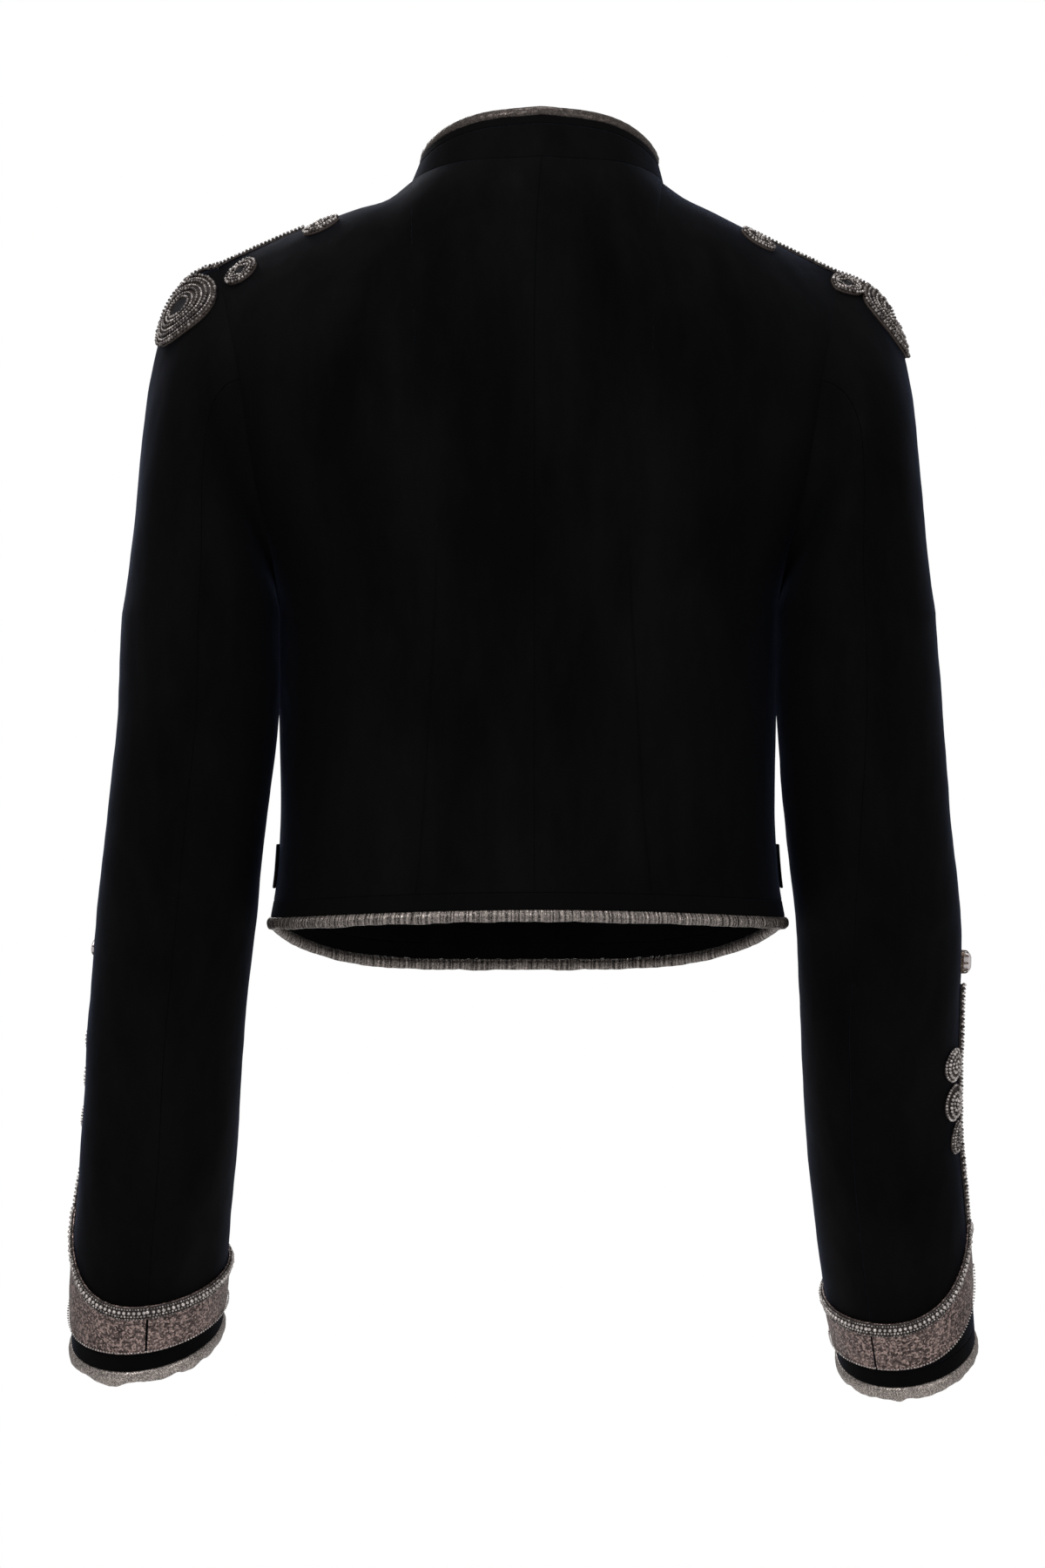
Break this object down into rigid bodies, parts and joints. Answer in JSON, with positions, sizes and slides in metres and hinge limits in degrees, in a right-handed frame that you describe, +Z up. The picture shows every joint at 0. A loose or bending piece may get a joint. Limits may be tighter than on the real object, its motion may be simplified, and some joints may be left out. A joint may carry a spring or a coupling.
{
  "type": "jacket",
  "caption": "Cropped velvet evening jacket in its worn shape, with a stand collar, two-piece sleeves, metallic bound edges, swept cuff bands and beaded scrolls on shoulders and forearms",
  "frame": {"origin": "Middle of the neck base, level with the side-neck points, where the jacket is held by the wearer's shoulders", "axes": "+Z up, the front faces -Y, the wearer's left is +X"},
  "size_m": [0.5132, 0.2434, 0.7072],
  "materials": {
    "velvet": "navy-black velvet pile",
    "edge_velvet": "black velvet edge strip",
    "silver_binding": "gathered silver-grey metallic cloth",
    "collar_metallic": "dark taupe metallic cloth",
    "cuff_metallic": "taupe glitter cloth",
    "beadwork": "gunmetal and taupe beads on a padded base",
    "stone": "faceted clear stone in a claw setting"
  },
  "bodies": {
    "root": {"back_left": "velvet", "back_right": "velvet", "collar_band": "edge_velvet", "collar_binding": "collar_metallic", "collar_stand": "velvet", "cuff_band_left": "edge_velvet", "cuff_band_right": "edge_velvet", "cuff_binding_left": "silver_binding", "cuff_binding_right": "silver_binding", "cuff_layer_left": "cuff_metallic", "cuff_layer_right": "cuff_metallic", "front_left": "velvet", "front_right": "velvet", "hem_band_back": "edge_velvet", "hem_band_front_left": "edge_velvet", "hem_band_front_right": "edge_velvet", "hem_binding_back": "silver_binding", "hem_binding_front_left": "silver_binding", "hem_binding_front_right": "silver_binding", "shoulder_cord_left": "beadwork", "shoulder_cord_right": "beadwork", "shoulder_motif_large_left": "beadwork", "shoulder_motif_large_right": "beadwork", "shoulder_motif_middle_left": "beadwork", "shoulder_motif_middle_right": "beadwork", "shoulder_motif_small_left": "beadwork", "shoulder_motif_small_right": "beadwork", "side_tab_left": "velvet", "side_tab_right": "velvet", "sleeve_cord_left": "beadwork", "sleeve_cord_right": "beadwork", "sleeve_leaf_left": "beadwork", "sleeve_leaf_right": "beadwork", "sleeve_scroll_lower_left": "beadwork", "sleeve_scroll_lower_right": "beadwork", "sleeve_scroll_upper_left": "beadwork", "sleeve_scroll_upper_right": "beadwork", "sleeve_stone_left": "stone", "sleeve_stone_right": "stone", "top_sleeve_left": "velvet", "top_sleeve_right": "velvet", "under_sleeve_left": "velvet", "under_sleeve_right": "velvet"}
  },
  "joints": []
}
